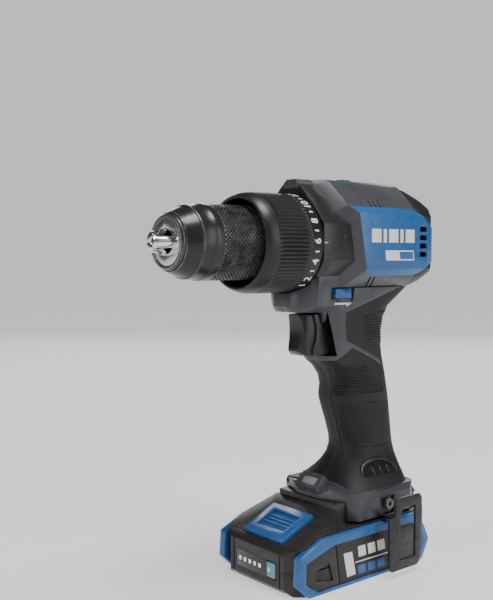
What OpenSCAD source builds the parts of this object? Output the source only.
// Cordless drill driver: clamshell head and pistol grip, keyless chuck, torque collar,
// two planetary stages, brushed motor, trigger switch and a slide-on battery pack.
// The origin is the middle of the pack's rest face. +X is the way the chuck points,
// +Y is the tool's left side and +Z is up.

/* [Head] */
// Height of the spindle axis above the rest face
axis_z = 203; // [202:0.5:204]
// Half width of the head across its blue side panels
head_half_w = 32; // [31.5:0.25:32.5]
// Thickness of a side panel
panel_t = 2; // [1.6:0.1:2.2]

/* [Chuck and collar] */
// Outer radius of the knurled chuck sleeve
sleeve_r = 21.5; // [21:0.1:22]
// Outer radius of the torque collar
collar_r = 29.5; // [29:0.1:29.9]
// Tilt of the jaws against the spindle axis
jaw_tilt = 14; // [13.5:0.25:14.5]
// Radius of a jaw
jaw_r = 3.4; // [3.2:0.1:3.5]

/* [Gears] */
// Gear module
gear_m = 0.8; // [0.8]
// Teeth on each sun gear
sun_teeth = 12; // [12]
// Teeth on each planet gear
planet_teeth = 15; // [15]
// Teeth in each ring gear
ring_teeth = 42; // [42]
// Backlash taken off each tooth
backlash = 0.16; // [0.12:0.02:0.2]

/* [Handle and foot] */
// Thickness of the rubber grip
grip_t = 1.6; // [1.4:0.1:1.8]
// Wall of the housing
wall = 2.4; // [2.2:0.1:2.6]
// Half width of the foot
foot_half_w = 33; // [32.5:0.25:33.5]

/* [Battery pack] */
// Half width of the pack across its bumpers
pack_half_w = 36.5; // [36.3:0.1:37]
// Radius of a cell
cell_r = 9.1; // [9:0.05:9.2]
// Distance between cell centres
cell_pitch = 19; // [18.8:0.1:19.2]

/* [Hidden] */
$fn = 64;

grey = [0.30, 0.30, 0.33];
black = [0.10, 0.10, 0.11];
blue = [0.20, 0.42, 0.68];
steel = [0.72, 0.72, 0.74];

collar_back = 32;
collar_front = 74.1;
head_back = -49;
cap_back = -65;
planet_centre = gear_m * (sun_teeth + planet_teeth) / 2;
deck_tilt = 23.2;
fit = 0.06;

// ---------- general shapes ----------

// Rod along X on the spindle axis
module rod(x0, x1, r) {
  translate([x0, 0, axis_z]) rotate([0, 90, 0]) cylinder(h = x1 - x0, r = r);
}

// Rod along Y through a point of the side view
module cross_rod(x, z, y0, y1, r) {
  translate([x, y1, z]) rotate([90, 0, 0]) cylinder(h = y1 - y0, r = r);
}

// Turned part: points are [distance along X, radius]
module turned(points) {
  translate([0, 0, axis_z]) rotate([0, 90, 0]) rotate_extrude()
    polygon([for (p = points) [p[1], p[0]]]);
}

// Outline of the front view, pushed along X
module front_slab(x0, x1, lift = 0) {
  translate([x0, 0, lift]) rotate([90, 0, 90]) linear_extrude(x1 - x0) children();
}

// Outline of the side view, pushed along Y
module side_slab(y0, y1) {
  translate([0, y1, 0]) rotate([90, 0, 0]) linear_extrude(y1 - y0) children();
}

// Block given by its two corners
module block(low, high) {
  translate(low) cube(high - low);
}

// Both sides of a half outline given with y of 0 or more
function mirrored(points) = concat(points,
  [for (i = [len(points) - 1 : -1 : 0]) if (points[i][0] > 0) [-points[i][0], points[i][1]]]);

module both_sides() {
  children();
  mirror([0, 1, 0]) children();
}

module left_half() {
  intersection() {
    children();
    block([-120, 0, -20], [160, 60, 260]);
  }
}

module right_half() {
  intersection() {
    children();
    block([-120, -60, -20], [160, 0, 260]);
  }
}

// Removes everything beyond the plane through three points, on the side where sign points
module beyond_plane(a, b, c) {
  n = cross(b - a, c - a);
  u = n / norm(n);
  translate(a) rotate([0, acos(u[2]), atan2(u[1], u[0])])
    translate([-150, -150, 0]) cube([300, 300, 100]);
}

// One level ring of the handle: front and back in X, half width, height
function handle_ring(s, inset, n = 32) = [for (i = [0 : n - 1])
  let (a = 360 * i / n, c = cos(a), d = sin(a), q = s[4])
  [(s[1] + s[2]) / 2 + ((s[1] - s[2]) / 2 - inset) * sign(c) * pow(abs(c), q),
   (s[3] - inset) * sign(d) * pow(abs(d), q), s[0]]];

// Closed skin through level rings that have the same number of points
module loft(rings) {
  n = len(rings[0]);
  m = len(rings);
  polyhedron(points = [for (r = rings) each r],
    faces = concat([[for (i = [0 : n - 1]) i], [for (i = [n - 1 : -1 : 0]) (m - 1) * n + i]],
      [for (k = [0 : m - 2], i = [0 : n - 1]) [k * n + i, (k + 1) * n + i, (k + 1) * n + (i + 1) % n]],
      [for (k = [0 : m - 2], i = [0 : n - 1])
        [k * n + i, (k + 1) * n + (i + 1) % n, k * n + (i + 1) % n]]));
}

// Round wire along a path
module wire(path, r, sides = 8) {
  m = len(path);
  rings = [for (k = [0 : m - 1])
    let (t = path[min(k + 1, m - 1)] - path[max(k - 1, 0)],
         f = t / norm(t),
         g = abs(f[1]) < 0.9 ? [0, 1, 0] : [1, 0, 0],
         a = cross(f, g) / norm(cross(f, g)),
         b = cross(f, a))
    [for (i = [0 : sides - 1]) path[k] + r * (cos(360 * i / sides) * a + sin(360 * i / sides) * b)]];
  loft(rings);
}

// Coil spring along +X from the origin
function coil(length, r, turns, steps = 12) = [for (i = [0 : turns * steps])
  [length * i / (turns * steps), r * cos(360 * i / steps), r * sin(360 * i / steps)]];

// ---------- gear teeth ----------

// Polar angle gained along an involute whose roll is t radians
function involute_turn(t) = t * 180 / PI - atan(t);

// Outline of a gear with n teeth, one tooth centred on the first axis
module gear_outline(n, add, ded, slack, flank_steps = 3) {
  rp = gear_m * n / 2;
  rb = rp * cos(20);
  ra = rp + add;
  rf = rp - ded;
  t0 = rf > rb ? sqrt(pow(rf / rb, 2) - 1) : 0;
  t1 = sqrt(pow(ra / rb, 2) - 1);
  half = 90 / n - slack / (2 * rp) * 180 / PI + involute_turn(tan(20));
  flank = [for (k = [0 : flank_steps]) let (t = t0 + (t1 - t0) * k / flank_steps)
    [rb * sqrt(1 + t * t), half - involute_turn(t)]];
  foot = rf < rb ? [[rf, half]] : [];
  side = concat(foot, flank);
  top = len(side) - 1;
  polygon([for (i = [0 : n - 1]) each concat(
    [for (p = side) p[0] * [cos(360 * i / n - p[1]), sin(360 * i / n - p[1])]],
    [for (k = [top : -1 : 0]) let (a = 360 * i / n + side[k][1])
      side[k][0] * [cos(a), sin(a)]])]);
}

module gear_bar(x0, x1, n, turn = 0) {
  front_slab(x0, x1, axis_z) rotate(turn) gear_outline(n, 0.95 * gear_m, 1.2 * gear_m, backlash);
}

// Ring gear: a tube with the teeth of its mating gear cut out of it
module ring_bar(x0, x1, r) {
  difference() {
    rod(x0, x1, r);
    front_slab(x0 - 1, x1 + 1, axis_z)
      gear_outline(ring_teeth, 1.2 * gear_m, 0.9 * gear_m, -backlash);
  }
}

// Planet on its pin, turned so that its teeth mesh with the sun and the ring
module planet(x0, x1, phase) {
  turn = phase + 180 + phase * sun_teeth / planet_teeth - 180 / planet_teeth;
  translate([0, planet_centre * cos(phase), planet_centre * sin(phase)]) difference() {
    gear_bar(x0, x1, planet_teeth, turn);
    rod(x0 - 1, x1 + 1, 2 + fit);
  }
}

module planet_pins(x0, x1) {
  for (phase = [0, 120, 240])
    translate([0, planet_centre * cos(phase), planet_centre * sin(phase)]) rod(x0, x1, 2);
}

// ---------- head ----------

head_outline = mirrored([[0, 241.5], [10.5, 241.5], [14, 239.6], [24, 230], [29, 224.4],
  [head_half_w, 221], [head_half_w, 187.3], [29, 183.6], [23.5, 177], [14, 171], [0, 171]]);
shroud_outline = mirrored([[0, 240.2], [4, 240.2], [8, 237.8], [18.2, 228.4], [28.6, 214.4],
  [28.6, 192.6], [22.4, 183.4], [0, 183.4]]);

module front_chamfers() {
  w = head_half_w;
  both_sides() {
    beyond_plane([19, 7, 238], [16, 20, 228.3], [11.8, 24, 230]);
    beyond_plane([-1, w, 187.5], [5.2, w, 221], [10.5, w - 3.8, 217.7]);
  }
}

module head_solid() {
  difference() {
    front_slab(head_back, 21) polygon(head_outline);
    front_chamfers();
  }
  // narrow crest that runs forward over the shroud
  front_slab(10, 31.4) polygon(mirrored([[0, 241.5], [3.8, 241.5], [6.8, 239], [6.8, 236.4], [0, 236.4]]));
}

cap_side = [[head_back, 239.4], [-54, 237.6], [-60, 232.5], [-64, 225], [cap_back, 215],
  [cap_back, 194], [-63, 186.5], [-57, 179.5], [head_back, 175.5]];

module cap_solid() {
  intersection() {
    front_slab(cap_back, head_back) polygon(mirrored([[0, 240], [10, 240], [13.5, 238.2], [24, 229.4],
      [29, 224], [head_half_w, 220.6], [head_half_w, 187.7], [29, 184], [22, 176.5], [12, 173], [0, 173]]));
    side_slab(-40, 40) polygon(cap_side);
    translate([0, 0, 150]) linear_extrude(120)
      polygon([[head_back + 1, 40], [-58, 40], [-61.5, 31.2], [cap_back + 1.2, 27.5], [cap_back, 23],
        [cap_back, -23], [cap_back + 1.2, -27.5], [-61.5, -31.2], [-58, -40], [head_back + 1, -40]]);
  }
}

panel_window = [[9.6, 225.2], [-46, 224.9], [-54, 220.4], [-62.2, 213.4], [-62.2, 191.6],
  [-52, 184.6], [-47, 183.2], [-3, 183.2], [-1.4, 187.2], [5, 221]];

// Space that the two side panels fill, let into the head and the rear cap
module panel_space() {
  t = panel_t;
  both_sides() intersection() {
    difference() {
      front_slab(-70, 20) polygon(head_outline);
      front_slab(-71, 21) polygon(mirrored([[0, 241.5 - t], [14 - t, 241.5 - t], [24 - t, 230 - t],
        [head_half_w - t, 221 - t / 2], [head_half_w - t, 187.3 + t / 2], [29 - t, 183.6 + t],
        [0, 171 + t]]));
    }
    side_slab(20, 40) polygon(panel_window);
  }
}

vent_pitch = 5.3;
module panel_vents() {
  for (i = [0 : 3])
    block([-57.4, -45, 194.8 + i * vent_pitch], [-50.6, 45, 198 + i * vent_pitch]);
}

// Three short slanted slots on each upper facet and two under each panel
module head_slots() {
  both_sides() {
    for (i = [0 : 2])
      translate([-9.5 - i * 4.2, 27, 227.3]) rotate([48.2, 0, 0]) rotate([0, 0, 28])
        translate([-0.8, -3.4, -3]) cube([1.6, 6.8, 6]);
    for (i = [0 : 1])
      translate([-9.5 - i * 3.8, 25.4, 179.3]) rotate([0, 14, 0]) cube([1.7, 12, 6.6], center = true);
  }
}

// ---------- handle ----------

// Rings of the handle: height, front, back, half width, squareness
handle_stations = [
  [51, 7, -52.5, 31.5, 0.62], [55, 2.5, -53.5, 27.6, 0.66], [59, -1.5, -54, 23.8, 0.7],
  [63.5, -5.3, -53.8, 20.8, 0.74], [68, -8.2, -53, 18.8, 0.78], [74, -9.6, -52, 17.4, 0.8],
  [80, -8.8, -51.3, 17, 0.8], [90, -5.3, -50.3, 17, 0.8], [98, -2.2, -49.2, 17.2, 0.8],
  [104, -0.2, -48.2, 17.6, 0.8], [108, 0.4, -47.4, 17.6, 0.8], [114, -0.6, -46, 17.4, 0.8],
  [120, 0.8, -44.4, 17.4, 0.78], [126, 5.2, -42.6, 17.6, 0.74], [131, 12, -41, 17.8, 0.7],
  [138, 13.2, -39.2, 18, 0.66], [148, 15, -38, 18.6, 0.64], [157, 17, -39, 19.6, 0.62],
  [164, 18, -43, 21, 0.6], [170, 19, -51, 22.4, 0.56], [176, 20, -59, 23.6, 0.52]];

module handle_solid(inset = 0) {
  difference() {
    loft([for (s = handle_stations) handle_ring(s, inset)]);
    // slanted front face that the trigger comes out of
    side_slab(-30, 30) polygon([[9.6 - inset, 134], [15.8 - inset, 161], [50, 161], [50, 134]]);
  }
}

// Side view of the rubber: behind the trigger, round the handle and over the foot
grip_upper = [[3.6, 161], [-28, 171.4], [-52, 178.6], [-75, 178.6], [-75, 108], [-33.2, 126.4],
  [-28.2, 130.8], [0.2, 143.2], [2.2, 149]];
grip_lower = [[14, 130.6], [6, 131.4], [-4, 139], [-31.6, 126.6], [-75, 103], [-75, 40], [3, 40],
  [3, 58], [12, 120]];

module grip_space() {
  difference() {
    side_slab(-45, 45) union() {
      polygon(grip_upper);
      polygon(grip_lower);
    }
    translate([0, 0, -50]) block([-80, -50, 0], [60, 50, 101.4]);
  }
}

// ---------- foot ----------

foot_low = 35;
foot_top = 51.4;
channel_half_w = 25.9;
channel_top = 46.2;

module foot_outline(grow = 0) {
  w = foot_half_w + grow;
  polygon([[16.6, 9], [9, 27.5], [4.6, w], [-42, w], [-49.5, 28], [-53, 12],
    [-53, -12], [-49.5, -28], [-42, -w], [4.6, -w], [9, -27.5], [16.6, -9]]);
}

module foot_solid() {
  intersection() {
    translate([0, 0, foot_low]) linear_extrude(54 - foot_low) foot_outline();
    side_slab(-40, 40) polygon([[17, foot_low], [17, 47.6], [13.4, 52.6], [2, 52.6], [-2, foot_top],
      [-51, foot_top], [-54, 47], [-54, foot_low]]);
    // the rim slopes down to both sides
    front_slab(-60, 30) polygon(mirrored([[0, 60], [14, 52.6], [30.4, foot_top], [34, 46.6],
      [34, 30], [0, 30]]));
  }
  // raised bezel of the work light, leaning forward
  translate([13.6, 0, 54.2]) rotate([0, 42, 0]) block([-5.6, -9.4, -6], [5.2, 9.4, 2.4]);
}

module led_pocket(grow = 0) {
  translate([13.6, 0, 54.2]) rotate([0, 42, 0])
    block([-3 - grow, -6 - grow, -2.6 - grow], [2.8 + grow, 6 + grow, 3]);
}

clip_screw_x = -21.5;
clip_screw_z = 41.6;

// ---------- inside of the housing ----------

// Housing screws: place along X, height, and where the head sits along Y
screw_places = [[25, 167.4, -11.9], [-33, 165.5, -11.9], [-38.5, 118, -8], [-42.5, 78, -8],
  [-5, 124, -8], [8, 50.2, -11.9], [-48, 49.4, -11.9]];
screw_head_r = 2.6;
screw_length = 17.5;

module battery_channel() {
  block([-70, -channel_half_w, foot_low - 1], [30, channel_half_w, channel_top]);
}

module rails() {
  both_sides() block([-48, 23.3, 38.6], [3, channel_half_w + 1, 40.9]);
}

module housing_outside() {
  difference() {
    head_solid();
    panel_space();
  }
  chin_solid();
  difference() {
    handle_solid();
    difference() {
      grip_space();
      handle_solid(grip_t);
    }
  }
  difference() {
    foot_solid();
    battery_channel();
  }
  rails();
}

module chin_solid() {
  difference() {
    hull() {
      front_slab(13, 29) polygon(mirrored([[0, 187], [22.4, 183.4], [21.6, 175], [20, 165.4],
        [15, 161.6], [0, 161.6]]));
      front_slab(35.4, 35.9) polygon(mirrored([[0, 176], [12.4, 176], [11, 164], [8.6, 161.6],
        [0, 161.6]]));
      front_slab(37.8, 38.3) polygon(mirrored([[0, 176], [8.4, 176], [7.4, 165], [0, 165]]));
    }
    rod(collar_back - 0.3, 60, collar_r + 0.7);
    front_slab(11, 31.7) polygon(shroud_outline);
  }
}

selector_x = 9;
selector_z = 173;
knob_x = -9;

module housing_hollows() {
  // motor and gearbox bore with two ribs that hold the motor
  turned([[-70, 0], [-70, 23.6], [-32, 23.6], [-32, 18.46], [-30, 18.46], [-30, 23.6], [-16, 23.6],
    [-16, 18.46], [-14, 18.46], [-14, 23.6], [31, 23.6], [31, 0]]);
  rod(14, 60, 25.6);
  // way of the gear shift fork
  block([-18, -3.4, 222], [17.6, 3.4, 232.4]);
  // handle: switch bay, cable way and terminal opening
  intersection() {
    handle_solid(wall + grip_t);
    block([-70, -40, 53.6], [40, 40, 240]);
  }
  block([-13, -14.6, 134], [14.4, 14.6, 180]);
  // finger opening for the trigger
  block([0.2, -9.8, 134], [45, 9.8, 160.4]);
  block([-38, -17.8, foot_top - 8], [-14, 17.8, 55]);
  led_pocket(0.05);
  // pockets of the direction selector
  block([-0.4, -40, 167.8], [18, -20.4, 176.6]);
  block([-0.4, 20.4, 167.8], [18, 40, 176.6]);
  block([1, -30, 169.8], [17, 30, 176.2]);
  // slot and shallow recess of the speed selector
  block([-24, -7, 240], [-0.6, 7, 245]);
  block([-21.5, -4.4, 220], [-3, 4.4, 245]);
  head_slots();
  // pocket of the clip screw
  block([-26.5, 30.4, foot_low - 1], [-13.8, 40, 46.4]);
  cross_rod(clip_screw_x, clip_screw_z, 20, 35, 1.9);
  // free threaded hole for the clip on the other side
  cross_rod(clip_screw_x, clip_screw_z, -40, -27, 1.65);
}

module screw_bosses() {
  difference() {
    for (p = screw_places) cross_rod(p[0], p[1], -30, 30, 3.9);
    rod(-71, 32, 23.9);
    rod(13, 61, 25.9);
    block([0, -9.8, 133], [46, 9.8, 160.4]);
  }
}

module screw_holes() {
  for (p = screw_places) {
    cross_rod(p[0], p[1], p[2] - 1, p[2] + screw_length + 0.5, 1.52);
    cross_rod(p[0], p[1], -40, p[2], screw_head_r + 0.2);
  }
}

module housing_left() {
  color(grey) left_half() housing_body();
}

module housing_right() {
  color(grey) right_half() housing_body();
}

module housing_body() {
  difference() {
    housing_outside();
    difference() {
      housing_hollows();
      screw_bosses();
    }
    screw_holes();
  }
}

module nose_shroud() {
  color(black) difference() {
    front_slab(1, 31.5) polygon(shroud_outline);
    difference() {
      front_slab(-2, 21) polygon(head_outline);
      front_chamfers();
    }
    front_slab(0, 40) polygon(mirrored([[0, 245], [3.8, 245], [3.8, 241.5], [6.8, 239],
      [6.8, 236.4], [0, 236.4]]));
    rod(-5, 40, 25.6);
  }
}

module rear_cap() {
  color(black) difference() {
    cap_solid();
    panel_space();
    panel_vents();
    rod(-61.5, head_back + 1, 23.6);
    for (i = [-3 : 3]) block([-70, -16, axis_z + i * 5 - 0.9], [-60, 16, axis_z + i * 5 + 0.9]);
  }
}

module side_panels() {
  difference() {
    panel_space();
    panel_vents();
  }
}

module side_panel_left() {
  color(blue) left_half() side_panels();
}

module side_panel_right() {
  color(blue) right_half() side_panels();
}

module grip_body() {
  difference() {
    intersection() {
      handle_solid();
      grip_space();
    }
    handle_solid(grip_t);
    foot_solid();
    head_solid();
    chin_solid();
    for (p = screw_places) cross_rod(p[0], p[1], -40, 0, screw_head_r + 0.2);
  }
}

module grip_left() {
  color(black) left_half() grip_body();
}

module grip_right() {
  color(black) right_half() grip_body();
}

module housing_screws() {
  color(steel) for (p = screw_places) difference() {
    union() {
      cross_rod(p[0], p[1], p[2] - 0.5, p[2] + screw_length, 1.5);
      cross_rod(p[0], p[1], p[2] - 2.2, p[2], screw_head_r);
    }
    cross_rod(p[0], p[1], p[2] - 3, p[2] - 0.8, 1.1);
  }
}

// ---------- gearbox and motor ----------

module gearbox_case() {
  color([0.22, 0.22, 0.23]) difference() {
    turned([[-3, 19.9], [-3, 23], [31.4, 23], [31.4, 13.5], [53, 13.5], [53, 8.4], [31.6, 8.4],
      [31.6, 11.5], [25.6, 11.5], [25.6, 19.9]]);
    block([3, -4.4, axis_z + 18], [24, 4.4, axis_z + 26]);
    for (a = [45 : 90 : 315]) translate([-4, 21.4 * sin(a), axis_z + 21.4 * cos(a)])
      rotate([0, 90, 0]) cylinder(h = 14, r = 0.98, $fn = 24);
  }
}

module ring_gear() {
  color(steel) ring_bar(0.4, 7, 19.9);
}

module gearbox_screws() {
  color(steel) for (a = [45 : 90 : 315]) translate([0, 21.4 * sin(a), axis_z + 21.4 * cos(a)])
    rotate([0, 90, 0]) {
      translate([0, 0, -5]) cylinder(h = 13.5, r = 0.96, $fn = 24);
      translate([0, 0, -6.4]) cylinder(h = 1.8, r = 2, $fn = 24);
    }
}

module spindle_bearings() {
  color(steel) difference() {
    union() {
      rod(26, 31.6, 11.5);
      rod(46, 52.4, 8.4);
    }
    rod(20, 60, 7 + fit);
  }
}

module motor_can() {
  color(steel) {
    difference() {
      rod(-42, -3.4, 18.4);
      rod(-40.6, -4.8, 17.2);
      rod(-45, 0, 4);
    }
    // two curved magnets stand inside the can
    intersection() {
      difference() {
        rod(-36, -8, 17.2);
        rod(-40, 0, 13.2);
      }
      union() {
        block([-40, 0, axis_z - 11], [0, 20, axis_z + 11]);
        block([-40, -20, axis_z - 11], [0, 0, axis_z + 11]);
      }
    }
    // mounting plate between the motor and the gearbox
    difference() {
      rod(-4.6, -3, 23);
      rod(-6, 0, 6.4);
      for (a = [45 : 90 : 315]) translate([-8, 21.4 * sin(a), axis_z + 21.4 * cos(a)])
        rotate([0, 90, 0]) cylinder(h = 8, r = 0.98, $fn = 24);
    }
  }
}

module motor_end_bell() {
  color(black) difference() {
    turned([[-46, 2.1], [-46, 12], [-44, 17.4], [-42, 17.4], [-42, 2.1]]);
    for (s = [-1, 1]) block([-47, s * 11 - 2.6, axis_z - 3.2], [-41, s * 11 + 2.6, axis_z + 3.2]);
  }
}

module motor_rotor() {
  color(steel) {
    rod(-60, 0.2, 2);
    rod(-36, -8, 12.6);
    rod(-40, -36, 6.2);
    gear_bar(0.2, 7, sun_teeth);
  }
}

module cooling_fan() {
  color(black) difference() {
    union() {
      rod(-58.6, -48, 4);
      rod(-49.6, -48, 19);
      for (a = [0 : 30 : 330]) translate([-58, 0, axis_z]) rotate([a, 0, 0])
        translate([0, -0.6, 3.5]) cube([9, 1.2, 15.3]);
    }
    rod(-62, -40, 2);
  }
}

module carrier() {
  color(steel) {
    difference() {
      rod(7.8, 10.2, 15.4);
      rod(0, 9, 2.4);
    }
    planet_pins(1, 8);
    gear_bar(10, 21, sun_teeth);
  }
}

module planet_gear_a() {
  color(steel) planet(1, 7.4, 0);
}

module planet_gear_b() {
  color(steel) planet(1, 7.4, 120);
}

module planet_gear_c() {
  color(steel) planet(1, 7.4, 240);
}

module planet_gear_d() {
  color(steel) planet(13, 21.2, 0);
}

module planet_gear_e() {
  color(steel) planet(13, 21.2, 120);
}

module planet_gear_f() {
  color(steel) planet(13, 21.2, 240);
}

module output_spindle() {
  color(steel) {
    rod(21.6, 24, 15.4);
    planet_pins(13, 22);
    rod(24, 60, 7);
    rod(60, 82, 6.3);
  }
}

// ---------- selectors and trigger ----------

module speed_selector() {
  color(blue) {
    side_slab(-6.2, 6.2) polygon([[knob_x - 7, 240.4], [knob_x - 5.4, 242.6], [knob_x - 1.4, 243.1],
      [knob_x, 242.4], [knob_x + 1.4, 243.1], [knob_x + 5.4, 242.6], [knob_x + 7, 240.4]]);
    block([knob_x - 5, -4, 236.4], [knob_x + 5.2, 4, 240.4]);
  }
}

module shift_fork() {
  color(steel) {
    block([-10.6, -2, 230.6], [-8.4, 2, 236.4]);
    block([-10.6, -2, 229.4], [13.4, 2, 231.6]);
    block([13.4, -3, 221.3], [16, 3, 231.6]);
  }
}

module shift_ring_gear() {
  color(steel) difference() {
    ring_bar(13.2, 21.2, 19.6);
    block([13.4, -3, 221.3], [16, 3, 225]);
  }
}

module direction_selector() {
  color(blue) {
    block([2.4, -23, 170.2], [15.6, 23, 175.8]);
    both_sides() block([4.4, 23, 171], [13.6, 23.6, 175]);
  }
}

trigger_back = 7.6;
trigger_seat = 22;
switch_front = -0.6;
plunger_z = 147;
plunger_r = 2.2;

module plunger_rod(x0, x1, r) {
  translate([0, 0, plunger_z - axis_z]) rod(x0, x1, r);
}

module trigger() {
  color(black) difference() {
    union() {
      // wide body that fills the slot, with a hollowed front edge
      side_slab(-9.2, 9.2) polygon([[trigger_back, 135], [20.6, 135], [20.4, 139], [18.6, 144],
        [17.9, 149], [18.4, 154], [20.2, 159.8], [trigger_back, 159.8]]);
      // narrower finger blade ahead of it
      side_slab(-7.4, 7.4) polygon([[12, 135], [24.6, 134.6], [29.6, 137.6], [29.4, 139.8],
        [27.2, 144.6], [26.4, 150], [27.4, 155.6], [29.2, 159.8], [12, 159.8]]);
    }
    // hollow behind the finger face for the spring and plunger
    block([5, -6, 139], [trigger_seat, 6, 155]);
    both_sides() beyond_plane([30.5, 3.4, 150], [25, 7.4, 160], [30.5, 3.4, 160]);
  }
  // plunger that slides in the switch
  color(black) plunger_rod(-4, trigger_seat + 0.5, plunger_r);
}

module trigger_spring() {
  color(steel) translate([switch_front + 0.45, 0, plunger_z])
    wire(coil(trigger_seat - switch_front - 0.9, 3.4, 8), 0.4, 6);
}

module trigger_switch() {
  color([0.25, 0.25, 0.27]) {
    difference() {
      block([-17, -9.4, 135], [switch_front, 9.4, 161]);
      plunger_rod(-12.5, 5, plunger_r + 0.3);
    }
    block([-10, -7, 161], [-2, 7, 166]);
  }
}

module power_leads() {
  color([0.5, 0.1, 0.1]) for (s = [-1, 1])
    wire([[-8, s * 4, 134.9], [-9, s * 4, 129], [-16, s * 4, 121], [-24, s * 4.6, 110], [-28, s * 5, 98],
      [-30, s * 5, 86], [-31, s * 6, 72], [-30, s * 8, 62], [-28, s * 8, 56.6]], 1.3);
}

blade_places = [-16, -8, 8, 16];
module terminal_block() {
  color([0.13, 0.13, 0.14]) {
    block([-40.5, -19.6, 53.7], [-11.5, 19.6, 56.2]);
    block([-37.9, -17.7, channel_top + 0.1], [-14.1, 17.7, 53.7]);
    for (y = blade_places) block([-37, y - 0.4, 39.4], [-24, y + 0.4, channel_top + 0.1]);
  }
}

module led_lens() {
  color([0.85, 0.88, 0.9, 0.6]) translate([13.6, 0, 54.2]) rotate([0, 42, 0])
    block([-3, -6, -2.6], [2.8, 6, 1.9]);
}

// ---------- belt clip ----------

clip_y = 44.6;
clip_t = 1.6;
module belt_clip() {
  color(black) difference() {
    clip_sheet();
    cross_rod(clip_screw_x, clip_screw_z, 20, 35, 1.9);
  }
}

module clip_sheet() {
  difference() {
    side_slab(clip_y, clip_y + clip_t) polygon([[-14, 48.4], [-35.4, 48.4], [-37.6, 45.6], [-37.2, 14],
      [-36, 6.4], [-33.4, 4], [-10, 4], [-7.6, 6.2], [-7.6, 37], [-13.4, 37]]);
    // tall window that leaves a plain frame
    side_slab(clip_y - 2, clip_y + 4) polygon([[-20.4, 42], [-31.6, 42], [-31.6, 10], [-17.6, 10],
      [-17.6, 38.4]]);
  }
  // shelf out from the foot, and its screwed tab
  block([-17.9, 31.9, 34.2], [-14, clip_y + 0.6, 35.8]);
  block([-26, 30.5, 34.2], [-14, 32.1, 46]);
  block([-26, 30.5, 34.2], [-14, 34, 35.8]);
}

module clip_screw() {
  color(steel) difference() {
    union() {
      cross_rod(clip_screw_x, clip_screw_z, 26.6, 32.2, 1.88);
      cross_rod(clip_screw_x, clip_screw_z, 32.1, 34.4, 3.3);
    }
    cross_rod(clip_screw_x, clip_screw_z, 33.2, 36, 1.4);
  }
}

// ---------- collar, clutch and chuck ----------

module torque_collar() {
  color(black) turned([[collar_back + 0.4, 27], [collar_back + 0.4, 29], [33.6, collar_r],
    [66.4, collar_r], [69.6, 28.9], [73.2, 27.4], [collar_front, 26.6], [collar_front, 25.2],
    [49, 25.2], [49, 13.5 + fit], [46, 13.5 + fit], [46, 27]]);
}

module clutch_nut() {
  color(steel) turned([[39.2, 13.8], [39.2, 21], [41.6, 21], [41.6, 13.8]]);
}

module clutch_spring() {
  color(steel) translate([32.6, 0, axis_z]) wire(coil(5.6, 16.4, 3, 24), 0.7, 6);
}

jaw_front = 132.2;
jaw_back = 95.5;
// Distance of a jaw's own axis from the spindle axis
function jaw_height(x) = 2.5 + (130 - x) * tan(jaw_tilt);

module jaw_rod(x0, x1, r, turn) {
  length = (x1 - x0) / cos(jaw_tilt);
  translate([0, 0, axis_z]) rotate([turn, 0, 0]) translate([x0, 0, jaw_height(x0)])
    rotate([0, 90 + jaw_tilt, 0]) cylinder(h = length, r = r);
}

module jaw(turn) {
  color([0.88, 0.88, 0.9]) intersection() {
    jaw_rod(jaw_back, jaw_front + 2, jaw_r, turn);
    translate([0, 0, axis_z]) rotate([turn, 0, 0]) translate([80, 0, 0]) rotate([90, 0, 90])
      linear_extrude(60) polygon([[0, 0.5], [26, 0.5 + 26 / tan(60)], [26, 30], [-26, 30],
        [-26, 0.5 + 26 / tan(60)]]);
    turned([[80, 0], [80, 24], [124, 24], [131, 5.6], [jaw_front, 3.4], [jaw_front, 0]]);
  }
}

module chuck_jaw_a() {
  jaw(30);
}

module chuck_jaw_b() {
  jaw(150);
}

module chuck_jaw_c() {
  jaw(270);
}

module chuck_body() {
  color(steel) difference() {
    turned([[60, 6.4], [60, 15], [61, 16.4], [96, 16.4], [113.6, 12.8], [122.2, 12.8], [122.2, 6.6],
      [84, 6.6], [84, 6.4]]);
    for (turn = [30, 150, 270]) jaw_rod(64, 127, jaw_r + fit, turn);
    // groove of the nut, where the jaws' outer faces come through
    turned([[97.4, 13.2], [97.4, 18], [104.2, 18], [104.2, 13.2]]);
  }
}

module chuck_nose_ring() {
  color([0.55, 0.55, 0.57]) turned([[116.6, 12.9], [116.6, 15.6], [121.4, 15.6], [122.8, 14.6],
    [122.8, 13.3], [122.4, 12.9]]);
}

module chuck_sleeve() {
  color(black) turned([[66, 20.2], [66, 20.8], [67, sleeve_r], [102.8, sleeve_r], [104, 21],
    [110.6, 20.4], [111.4, 20.4], [112, 19.6], [119.6, 16.6], [120.4, 15.9], [116.2, 15.9],
    [116.2, 17], [104.6, 18.7], [98, 20.2]]);
}

module chuck_nut() {
  color(steel) turned([[97.8, 14.5], [97.8, 20.15], [103.6, 18.85], [103.6, 14.5]]);
}

// ---------- battery pack ----------

pack_front = 58.5;
pack_back = -58;
case_half_w = 33.4;
rail_half_w = 25.5;
split_z = 14;

// Height of the sloping deck at a place along X
function deck_z(x) = 42.9 - (x - 17) * tan(deck_tilt);

pack_side = [[pack_back, 1.6], [pack_back + 1.6, 0], [pack_front - 3.4, 0], [pack_front, 3.4],
  [pack_front, 23.4], [57, deck_z(57)], [17.2, deck_z(17.2)], [17.2, 45.8], [pack_back + 5, 45.8],
  [pack_back, 40]];

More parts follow.
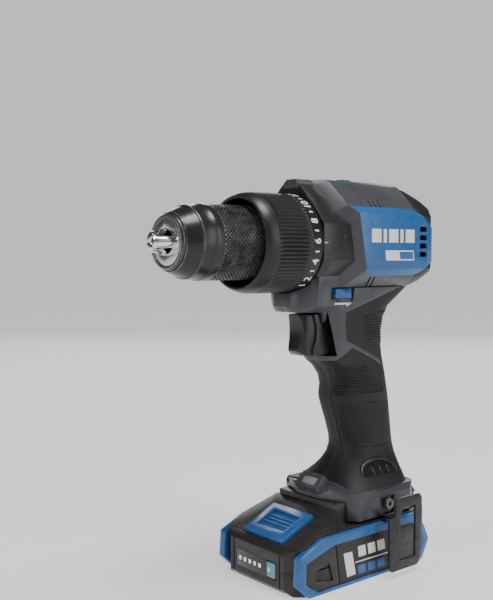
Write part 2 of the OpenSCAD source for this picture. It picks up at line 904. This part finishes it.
module pack_solid() {
  intersection() {
    side_slab(-40, 40) polygon(pack_side);
    union() {
      // full-width body under the bumpers' top edge
      translate([0, 0, -1]) linear_extrude(34.4) polygon([[pack_front + 1, 23], [54.5, 29.5],
        [50, case_half_w], [-52, case_half_w], [-60, 29], [-60, -29], [-52, -case_half_w],
        [50, -case_half_w], [54.5, -29.5], [pack_front + 1, -23]]);
      // rail block that slides in the foot
      block([pack_back - 1, -rail_half_w, 30], [17.2, rail_half_w, 50]);
      // sloping nose in front of the foot
      front_slab(17.2, 60) polygon(mirrored([[0, 50], [27.4, 50], [27.4, 43.2], [case_half_w, 33.4],
        [0, 33.4]]));
    }
  }
  // thick side walls inside the bumper frames
  both_sides() side_slab(30, pack_half_w - 0.9) polygon(bumper_inner);
}

bumper_outer = [[49.7, 0], [58.4, 8.4], [57.4, 24], [39, 32.2], [-43, 32.2], [-52, 23.4], [-57, 13],
  [-51, 2.4], [-47, 0]];
bumper_inner = [[41.4, 2], [45.4, 4], [52, 8.6], [51.6, 20.2], [29.4, 26.6], [-40, 26.6], [-46.6, 20.4],
  [-49.6, 12.6], [-45.4, 5], [-42, 2]];

module bumper_space() {
  both_sides() side_slab(31.4, pack_half_w) difference() {
    polygon(bumper_outer);
    polygon(bumper_inner);
  }
}

module deck_frame() {
  translate([40.6, 0, deck_z(40.6)]) rotate([0, deck_tilt, 0]) children();
}

module pack_hollows() {
  // cells, board space, terminal slots, rail grooves, latch pocket and gauge recess
  block([-49, -32.8, 2.6], [49.4, 32.8, 21.6]);
  block([-50, -22, 21], [14, 22, 35]);
  for (y = blade_places) block([-70, y - 1.4, 34], [-21, y + 1.4, 50]);
  both_sides() block([-70, 22.8, 38], [5, 30, 41.5]);
  deck_frame() block([-14, -17.9, -6.4], [14, 17.9, 10]);
  block([57.2, -18.4, 7.2], [70, 17.6, 17.6]);
  block([55.8, 9.4, 7.6], [58, 17.4, 17.2]);
  // moulded recess and parting groove in each flank, and a groove down each side of the front
  both_sides() {
    side_slab(pack_half_w - 2.1, 50) polygon([[45.6, 13.8], [33, 17], [29.6, 5.7], [43.8, 8.6]]);
    side_slab(pack_half_w - 1.5, 50) polygon([[28.2, 27], [27.4, 27], [23.6, 1.6], [24.4, 1.6]]);
    translate([0, 0, 3]) linear_extrude(20) polygon([[60, 20.4], [57.9, 20.4], [57.9, 21.4], [60, 21.4]]);
  }
  both_sides() block([-60, rail_half_w, 33.4], [17.2, 50, 60]);
}

module battery_tray() {
  color([0.12, 0.11, 0.11]) difference() {
    intersection() {
      pack_solid();
      block([-70, -50, -5], [70, 50, split_z]);
    }
    bumper_space();
    pack_hollows();
    pack_screw_holes();
  }
}

module battery_lid() {
  color([0.12, 0.11, 0.11]) difference() {
    intersection() {
      pack_solid();
      block([-70, -50, split_z], [70, 50, 60]);
    }
    bumper_space();
    pack_hollows();
    pack_screw_holes();
  }
}

module battery_bumper_left() {
  color(blue) left_half() bumper_space();
}

module battery_bumper_right() {
  color(blue) right_half() bumper_space();
}

module battery_cells() {
  color([0.2, 0.55, 0.35]) for (i = [-2 : 2]) cross_rod(i * cell_pitch, 12.1, -32.5, 32.5, cell_r);
}

module battery_board() {
  color([0.1, 0.35, 0.15]) {
    block([-48, -21, 22.4], [12, 21, 24]);
    for (y = blade_places) {
      block([-34, y - 1.2, 24], [-23, y - 0.7, 44]);
      block([-34, y + 0.7, 24], [-23, y + 1.2, 44]);
    }
  }
}

module pack_screw_holes() {
  for (x = [-53.4, 53.4], y = [-24, 24]) {
    translate([x, y, -1]) cylinder(h = 20.4, r = 1.32);
    translate([x, y, -1]) cylinder(h = 4.4, r = 2.7);
  }
}

module battery_screws() {
  color(steel) for (x = [-53.4, 53.4], y = [-24, 24]) {
    translate([x, y, 3.4]) cylinder(h = 15.6, r = 1.3);
    translate([x, y, 1.4]) cylinder(h = 2, r = 2.5);
  }
}

module battery_latch() {
  color(blue) deck_frame() {
    difference() {
      block([-13.5, -17.4, -3.4], [13.5, 17.4, 2.5]);
      // thumb recess
      block([-8.4, -11.6, 1.3], [6.4, 11.6, 4]);
      translate([13.5, 0, 2.5]) rotate([0, 40, 0]) cube([3, 40, 1.8], center = true);
    }
    // grip ridges that stand in the recess
    for (i = [-1 : 1]) translate([i * 3 - 1, 0, 1.3]) rotate([90, 0, 0])
      cylinder(h = 21, r = 0.8, center = true, $fn = 24);
  }
}

module gauge_lens() {
  color([0.08, 0.08, 0.09]) block([57.2, -18.4, 7.2], [pack_front, 9.2, 17.6]);
}

module gauge_button() {
  color([0.5, 0.75, 0.85]) block([56.8, 9.8, 8], [59, 17, 16.8]);
}

housing_left();
housing_right();
nose_shroud();
rear_cap();
side_panel_left();
side_panel_right();
grip_left();
grip_right();
housing_screws();
gearbox_case();
ring_gear();
gearbox_screws();
spindle_bearings();
motor_can();
motor_end_bell();
trigger_switch();
power_leads();
terminal_block();
led_lens();
belt_clip();
clip_screw();
trigger();
trigger_spring();
direction_selector();
speed_selector();
shift_fork();
shift_ring_gear();
torque_collar();
clutch_nut();
clutch_spring();
output_spindle();
planet_gear_a();
planet_gear_b();
planet_gear_c();
carrier();
planet_gear_d();
planet_gear_e();
planet_gear_f();
motor_rotor();
cooling_fan();
chuck_body();
chuck_nose_ring();
chuck_jaw_a();
chuck_jaw_b();
chuck_jaw_c();
chuck_sleeve();
chuck_nut();
battery_tray();
battery_lid();
battery_bumper_left();
battery_bumper_right();
battery_cells();
battery_board();
battery_screws();
battery_latch();
gauge_lens();
gauge_button();
